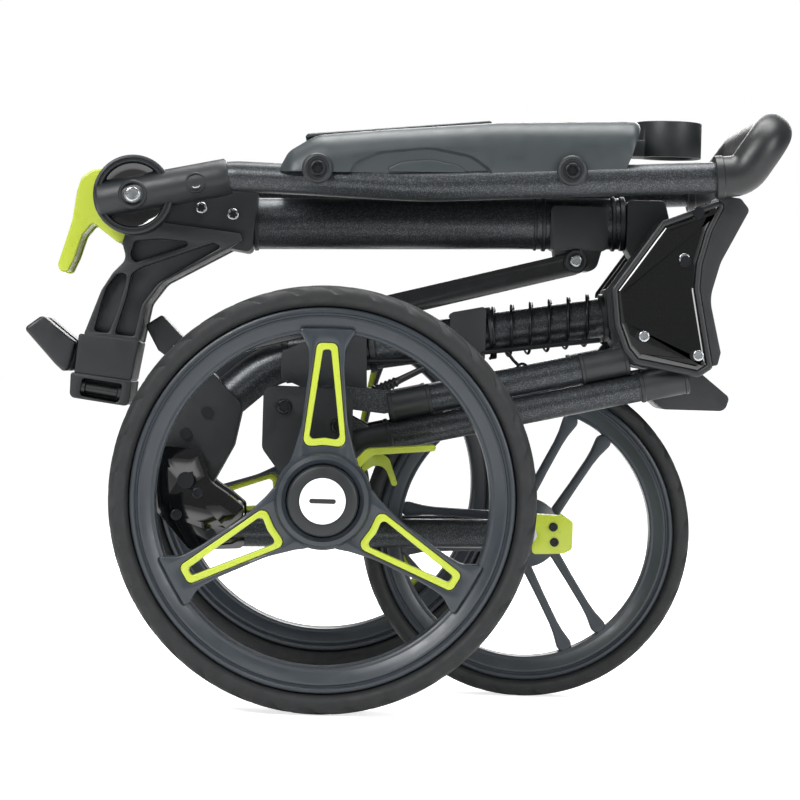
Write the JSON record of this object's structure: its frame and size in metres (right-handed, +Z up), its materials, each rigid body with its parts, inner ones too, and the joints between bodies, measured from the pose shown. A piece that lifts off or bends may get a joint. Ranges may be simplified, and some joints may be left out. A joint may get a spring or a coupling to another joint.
{
  "type": "golf push trolley",
  "caption": "Folding golf push trolley, folded flat: grip and console on top of two hinged frame tubes, linked rear arms, spoked wheels and a front fork.",
  "frame": {"origin": "on the floor under the middle of the folded trolley", "axes": "+X towards the grip, +Y away from the near rear wheel, across the track, +Z up"},
  "size_m": [0.5432, 0.388, 0.4265],
  "materials": {
    "graphite_tube": "satin, fine metallic",
    "gloss_cover": "gloss",
    "slate_plastic": "matt moulded",
    "console_plastic": "fine grained",
    "lime_plastic": "satin",
    "tyre_foam": "matt",
    "rim_plastic": "satin",
    "steel": "brushed",
    "black_steel": "black oxide",
    "grip_rubber": "matt"
  },
  "bodies": {
    "front_frame": {"hinge_core": "slate_plastic", "hinge_cover_near": "gloss_cover", "hinge_cover_far": "gloss_cover", "bag_rails": "slate_plastic", "main_pin": "steel", "link_pins": "steel", "front_tube": "graphite_tube", "tube_block": "slate_plastic", "spring_collar": "slate_plastic", "spring": "black_steel", "front_clamp": "slate_plastic", "frame_screws": "black_steel", "fork_pin": "steel"},
    "upper_frame": {"upper_tube": "graphite_tube", "upper_knuckle": "slate_plastic", "mid_bracket": "slate_plastic", "brace_bars": "black_steel", "brace_end_block": "slate_plastic", "hinge_collar": "slate_plastic", "bag_arm": "slate_plastic", "collar_screws": "black_steel", "handle_pin": "steel", "strap_block": "slate_plastic", "strap_roller": "steel", "bag_wings": "slate_plastic"},
    "cam_lever": {"cam_lever": "lime_plastic"},
    "handle": {"handle_hinge_near": "slate_plastic", "handle_hinge_far": "slate_plastic", "handle_tubes": "graphite_tube", "grip": "grip_rubber", "console_tray": "console_plastic", "accessory_ring": "console_plastic", "handle_bolts": "black_steel"},
    "console_lid": {"console_lid": "console_plastic"},
    "fork": {"fork_cover_near": "gloss_cover", "fork_cover_far": "gloss_cover", "fork_arms": "graphite_tube", "axle_clamps": "lime_plastic", "fork_bridge": "slate_plastic", "fork_screws": "black_steel", "front_axle": "steel"},
    "front_wheel": {"front_tyre": "tyre_foam", "front_rim": "rim_plastic"},
    "lower_link_near": {"lower_link_near": "graphite_tube"},
    "lower_link_far": {"lower_link_far": "graphite_tube"},
    "upper_link_near": {"upper_link_near": "graphite_tube"},
    "upper_link_far": {"upper_link_far": "graphite_tube"},
    "axle_frame": {"axle_bracket_near": "slate_plastic", "axle_bracket_far": "slate_plastic", "link_rods": "steel", "rear_axles": "steel"},
    "brake_pedal": {"brake_pedal": "lime_plastic"},
    "rear_wheel_near": {"rear_tyre_near": "tyre_foam", "rear_rim_near": "rim_plastic", "spoke_frames_near": "lime_plastic", "hub_cap_near": "rim_plastic"},
    "rear_wheel_far": {"rear_tyre_far": "tyre_foam", "rear_rim_far": "rim_plastic", "spoke_frames_far": "lime_plastic", "hub_cap_far": "rim_plastic"}
  },
  "joints": [
    {"name": "main_fold", "type": "hinge", "parent": "front_frame", "child": "upper_frame", "pos_m": [0.193, 0, 0.293], "axis": [0, 1, 0], "range_deg": [0, 145]},
    {"name": "handle_fold", "type": "hinge", "parent": "upper_frame", "child": "handle", "pos_m": [-0.195, 0, 0.355], "axis": [0, -1, 0], "range_deg": [0, 170]},
    {"name": "cam_lever_turn", "type": "hinge", "parent": "upper_frame", "child": "cam_lever", "pos_m": [-0.195, 0, 0.355], "axis": [0, 1, 0], "range_deg": [0, 50]},
    {"name": "lid_open", "type": "hinge", "parent": "handle", "child": "console_lid", "pos_m": [0.064, 0, 0.413], "axis": [0, 1, 0], "range_deg": [0, 95]},
    {"name": "fork_fold", "type": "hinge", "parent": "front_frame", "child": "fork", "pos_m": [-0.153, 0, 0.152], "axis": [0, 1, 0], "range_deg": [0, 164]},
    {"name": "lower_link_near_fold", "type": "hinge", "parent": "front_frame", "child": "lower_link_near", "pos_m": [0.208, -0.061, 0.2525], "axis": [0, -1, 0], "range_deg": [0, 48.4]},
    {"name": "lower_link_far_fold", "type": "hinge", "parent": "front_frame", "child": "lower_link_far", "pos_m": [0.208, 0.061, 0.2525], "axis": [0, -1, 0], "range_deg": [0, 48.4]},
    {"name": "upper_link_near_fold", "type": "hinge", "parent": "front_frame", "child": "upper_link_near", "pos_m": [0.169, -0.061, 0.265], "axis": [0, -1, 0], "range_deg": [0, 48.4]},
    {"name": "upper_link_far_fold", "type": "hinge", "parent": "front_frame", "child": "upper_link_far", "pos_m": [0.169, 0.061, 0.265], "axis": [0, -1, 0], "range_deg": [0, 48.4]},
    {"name": "axle_frame_turn", "type": "hinge", "parent": "lower_link_near", "child": "axle_frame", "pos_m": [-0.04403, 0, 0.19501], "axis": [0, 1, 0], "range_deg": [0, 48.4]},
    {"name": "pedal_press", "type": "hinge", "parent": "axle_frame", "child": "brake_pedal", "pos_m": [-0.032, -0.098, 0.16], "axis": [0, 1, 0], "range_deg": [0, 18], "stiffness_Nm_per_rad": 0.5, "springref_deg": -17.19},
    {"name": "front_wheel_spin", "type": "hinge", "parent": "fork", "child": "front_wheel", "pos_m": [0.095, 0, 0.12], "axis": [0, 1, 0], "continuous": true},
    {"name": "rear_wheel_near_spin", "type": "hinge", "parent": "axle_frame", "child": "rear_wheel_near", "pos_m": [-0.053, -0.165, 0.146], "axis": [0, 1, 0], "continuous": true},
    {"name": "rear_wheel_far_spin", "type": "hinge", "parent": "axle_frame", "child": "rear_wheel_far", "pos_m": [-0.053, 0.165, 0.146], "axis": [0, 1, 0], "continuous": true}
  ],
  "couplings": [
    {"joint": "fork_fold", "follows": "main_fold", "ratio": 1.13},
    {"joint": "lower_link_near_fold", "follows": "main_fold", "ratio": 0.33333},
    {"joint": "lower_link_far_fold", "follows": "main_fold", "ratio": 0.33333},
    {"joint": "upper_link_near_fold", "follows": "main_fold", "ratio": 0.33333},
    {"joint": "upper_link_far_fold", "follows": "main_fold", "ratio": 0.33333},
    {"joint": "axle_frame_turn", "follows": "main_fold", "ratio": 0.33333}
  ]
}
